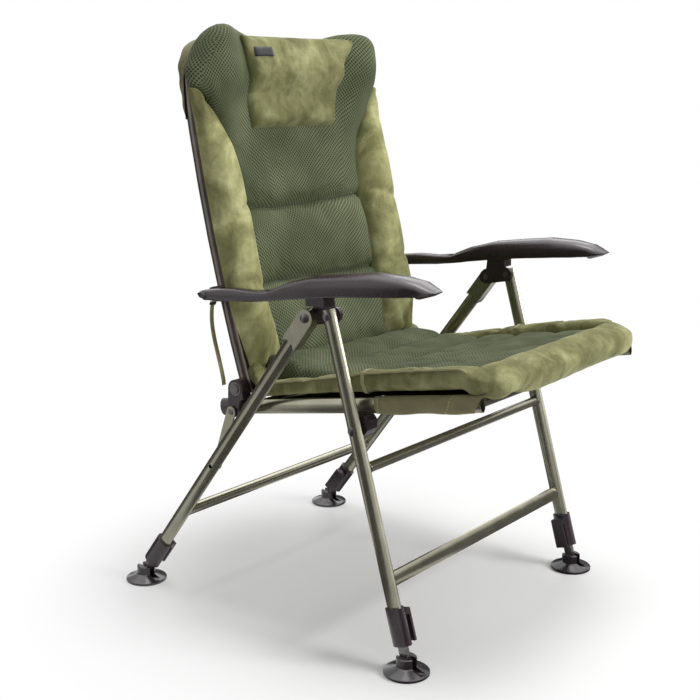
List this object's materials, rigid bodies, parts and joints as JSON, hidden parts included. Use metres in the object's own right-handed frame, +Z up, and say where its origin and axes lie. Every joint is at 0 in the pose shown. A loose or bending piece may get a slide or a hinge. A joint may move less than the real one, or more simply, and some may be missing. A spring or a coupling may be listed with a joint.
{
  "type": "folding fishing chair",
  "caption": "Padded folding bank chair with a reclining back, swinging armrests, telescopic legs and tilting round feet.",
  "frame": {"origin": "on the floor, under the middle of the chair's bounding box", "axes": "+X to the sitter's left, +Y to the back, +Z up; the chair stands open with its back upright"},
  "size_m": [0.663, 0.8272, 1.0816],
  "materials": {
    "frame_paint": "satin olive grey",
    "dark_paint": "satin brown grey",
    "plastic": "satin charcoal",
    "bolts": "blackened",
    "nylon": "woven nylon",
    "fleece": "crushed fleece",
    "mesh": "open knit mesh",
    "webbing": "woven tape"
  },
  "bodies": {
    "front_legs": {"front_leg_left": "frame_paint", "front_leg_right": "frame_paint", "lower_front_bar": "frame_paint", "upper_front_bar": "frame_paint", "hub_bracket_left": "plastic", "hub_bracket_right": "plastic", "hub_bolt_left": "bolts", "hub_bolt_right": "bolts", "hub_pivot_bolt_left": "bolts", "hub_pivot_bolt_right": "bolts", "leg_clamp_front_left": "plastic", "leg_clamp_front_right": "plastic"},
    "rear_legs": {"rear_leg_left": "frame_paint", "rear_leg_right": "frame_paint", "rear_bar": "frame_paint", "rear_leg_socket_left": "plastic", "rear_leg_socket_right": "plastic", "leg_clamp_rear_left": "plastic", "leg_clamp_rear_right": "plastic"},
    "seat": {"seat_rail_left": "frame_paint", "seat_rail_right": "frame_paint", "rail_end_cap_left": "plastic", "rail_end_cap_right": "plastic", "seat_pivot_bracket_left": "plastic", "seat_pivot_bracket_right": "plastic", "seat_pivot_bolt_left": "bolts", "seat_pivot_bolt_right": "bolts", "seat_front_bar": "dark_paint", "seat_rear_bar": "dark_paint", "back_hinge_bracket_left": "plastic", "back_hinge_bracket_right": "plastic", "link_bolt_left": "bolts", "link_bolt_right": "bolts", "seat_sling": "nylon", "seat_cushion": "fleece"},
    "side_links": {"side_link_left": "frame_paint", "side_link_right": "frame_paint"},
    "back_pivots": {"back_pivot_bolt_left": "bolts", "back_pivot_bolt_right": "bolts"},
    "backrest": {"back_frame": "dark_paint", "back_sling": "nylon", "back_cushion": "mesh", "pillow": "fleece", "closing_strap": "webbing"},
    "arm_pivots": {"arm_pivot_bolt_left": "bolts", "arm_pivot_bolt_right": "bolts"},
    "armrests": {"armrest_left": "plastic", "armrest_right": "plastic"},
    "inner_leg_front_left": {"inner_leg_front_left": "frame_paint"},
    "foot_front_left": {"foot_front_left": "plastic"},
    "clamp_lever_front_left": {"clamp_lever_front_left": "plastic"},
    "inner_leg_front_right": {"inner_leg_front_right": "frame_paint"},
    "foot_front_right": {"foot_front_right": "plastic"},
    "clamp_lever_front_right": {"clamp_lever_front_right": "plastic"},
    "inner_leg_rear_left": {"inner_leg_rear_left": "frame_paint"},
    "foot_rear_left": {"foot_rear_left": "plastic"},
    "clamp_lever_rear_left": {"clamp_lever_rear_left": "plastic"},
    "inner_leg_rear_right": {"inner_leg_rear_right": "frame_paint"},
    "foot_rear_right": {"foot_rear_right": "plastic"},
    "clamp_lever_rear_right": {"clamp_lever_rear_right": "plastic"}
  },
  "joints": [
    {"name": "fold", "type": "hinge", "parent": "front_legs", "child": "seat", "pos_m": [0, -0.16109, 0.408], "axis": [-1, 0, 0], "range_deg": [0, 96], "deforming": ["seat_cushion", "back_cushion", "pillow"]},
    {"name": "rear_legs_swing", "type": "hinge", "parent": "front_legs", "child": "rear_legs", "pos_m": [0, -0.05985, 0.589], "axis": [-1, 0, 0], "range_deg": [0, 49.82]},
    {"name": "side_links_swing", "type": "hinge", "parent": "seat", "child": "side_links", "pos_m": [0, 0.13689, 0.38787], "axis": [-1, 0, 0], "range_deg": [0, 139.52]},
    {"name": "back_fold", "type": "hinge", "parent": "seat", "child": "back_pivots", "pos_m": [0, 0.13023, 0.43116], "axis": [-1, 0, 0], "range_deg": [-91.32, 0]},
    {"name": "recline", "type": "hinge", "parent": "back_pivots", "child": "backrest", "pos_m": [0, 0.13023, 0.43116], "axis": [-1, 0, 0], "range_deg": [0, 30]},
    {"name": "arm_recline", "type": "hinge", "parent": "backrest", "child": "arm_pivots", "pos_m": [0, 0.18224, 0.60241], "axis": [-1, 0, 0], "range_deg": [-22.49, 0]},
    {"name": "arm_fold", "type": "hinge", "parent": "arm_pivots", "child": "armrests", "pos_m": [0, 0.18224, 0.60241], "axis": [-1, 0, 0], "range_deg": [0, 105.32]},
    {"name": "leg_extend_front_left", "type": "slide", "parent": "front_legs", "child": "inner_leg_front_left", "axis": [0, -0.2745, -0.9616], "range_m": [0, 0.1]},
    {"name": "foot_tilt_front_left", "type": "hinge", "parent": "inner_leg_front_left", "child": "foot_front_left", "pos_m": [0.291, -0.27185, 0.02], "axis": [1, 0, 0], "range_deg": [-18, 18]},
    {"name": "clamp_open_front_left", "type": "hinge", "parent": "front_legs", "child": "clamp_lever_front_left", "pos_m": [0.2745, -0.24824, 0.1027], "axis": [0, 0.9616, -0.2745], "range_deg": [0, 95]},
    {"name": "leg_extend_front_right", "type": "slide", "parent": "front_legs", "child": "inner_leg_front_right", "axis": [0, -0.2745, -0.9616], "range_m": [0, 0.1]},
    {"name": "foot_tilt_front_right", "type": "hinge", "parent": "inner_leg_front_right", "child": "foot_front_right", "pos_m": [-0.291, -0.27185, 0.02], "axis": [1, 0, 0], "range_deg": [-18, 18]},
    {"name": "clamp_open_front_right", "type": "hinge", "parent": "front_legs", "child": "clamp_lever_front_right", "pos_m": [-0.2745, -0.24824, 0.1027], "axis": [0, -0.9616, 0.2745], "range_deg": [0, 95]},
    {"name": "leg_extend_rear_left", "type": "slide", "parent": "rear_legs", "child": "inner_leg_rear_left", "axis": [0, 0.6056, -0.7958], "range_m": [0, 0.1]},
    {"name": "foot_tilt_rear_left", "type": "hinge", "parent": "inner_leg_rear_left", "child": "foot_rear_left", "pos_m": [0.291, 0.37315, 0.02], "axis": [1, 0, 0], "range_deg": [-18, 18]},
    {"name": "clamp_open_rear_left", "type": "hinge", "parent": "rear_legs", "child": "clamp_lever_rear_left", "pos_m": [0.2745, 0.32107, 0.08844], "axis": [0, 0.7958, 0.6056], "range_deg": [0, 95]},
    {"name": "leg_extend_rear_right", "type": "slide", "parent": "rear_legs", "child": "inner_leg_rear_right", "axis": [0, 0.6056, -0.7958], "range_m": [0, 0.1]},
    {"name": "foot_tilt_rear_right", "type": "hinge", "parent": "inner_leg_rear_right", "child": "foot_rear_right", "pos_m": [-0.291, 0.37315, 0.02], "axis": [1, 0, 0], "range_deg": [-18, 18]},
    {"name": "clamp_open_rear_right", "type": "hinge", "parent": "rear_legs", "child": "clamp_lever_rear_right", "pos_m": [-0.2745, 0.32107, 0.08844], "axis": [0, -0.7958, -0.6056], "range_deg": [0, 95]}
  ],
  "couplings": [
    {"joint": "rear_legs_swing", "follows": "fold", "ratio": 0.51875},
    {"joint": "side_links_swing", "follows": "fold", "ratio": 1.4532},
    {"joint": "back_fold", "follows": "fold", "ratio": -0.95104},
    {"joint": "arm_recline", "follows": "recline", "ratio": -0.749},
    {"joint": "arm_fold", "follows": "fold", "ratio": 1.0969}
  ]
}
